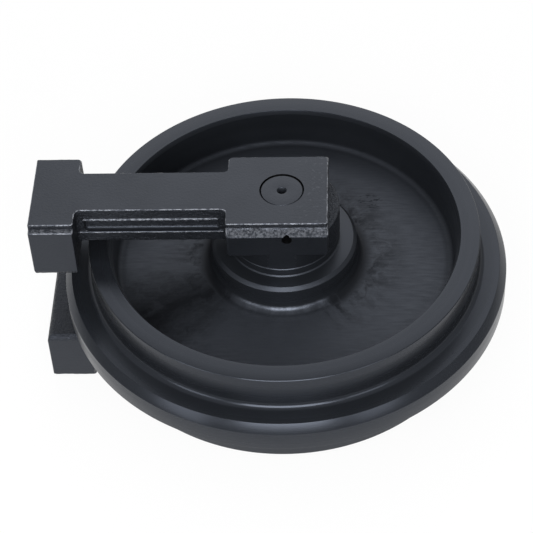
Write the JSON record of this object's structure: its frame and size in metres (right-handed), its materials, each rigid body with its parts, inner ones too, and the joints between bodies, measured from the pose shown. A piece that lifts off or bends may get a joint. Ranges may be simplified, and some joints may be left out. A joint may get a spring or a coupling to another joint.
{
  "type": "excavator front idler",
  "caption": "Hollow flanged idler wheel turning on a fixed shaft between two cast arm brackets whose end blocks bolt to a track tensioner yoke.",
  "frame": {"origin": "centre of the bounding box's bottom; the lower bracket's outer face lies on the ground plane and the wheel's axis stands 15 mm to +X of it", "axes": "+Z along the wheel's axis, from the lower bracket to the upper one; +X from the end blocks towards the wheel; the left and right sides mirror each other except for the lock pins' mouths and the heads' sharper corners, which lie towards -Y above and +Y below"},
  "size_m": [0.624, 0.594, 0.3],
  "materials": {
    "black_paint": "satin black paint over turned steel",
    "black_casting": "satin black paint over rough casting with machined faces",
    "black_shaft": "black paint over ground steel",
    "pin_steel": "plain steel",
    "bronze": "turned bronze",
    "seal_iron": "lapped seal iron",
    "rubber": "matt",
    "zinc": "zinc plated"
  },
  "bodies": {
    "carrier": {"bracket_upper": "black_casting", "bracket_lower": "black_casting", "shaft": "black_shaft", "oil_plug": "zinc", "lock_pin_upper": "pin_steel", "lock_pin_lower": "pin_steel", "seal_ring_fixed_upper": "seal_iron", "seal_ring_fixed_lower": "seal_iron", "seal_toric_fixed_upper": "rubber", "seal_toric_fixed_lower": "rubber", "shaft_o_ring_upper": "rubber", "shaft_o_ring_lower": "rubber"},
    "wheel": {"wheel_shell_upper": "black_paint", "wheel_shell_lower": "black_paint", "wheel_hub": "black_paint", "bush_upper": "bronze", "bush_lower": "bronze", "seal_ring_turning_upper": "seal_iron", "seal_ring_turning_lower": "seal_iron", "seal_toric_turning_upper": "rubber", "seal_toric_turning_lower": "rubber"}
  },
  "joints": [
    {"name": "wheel_spin", "type": "hinge", "parent": "carrier", "child": "wheel", "pos_m": [0.015, 0, 0.15], "axis": [0, 0, 1], "continuous": true}
  ]
}
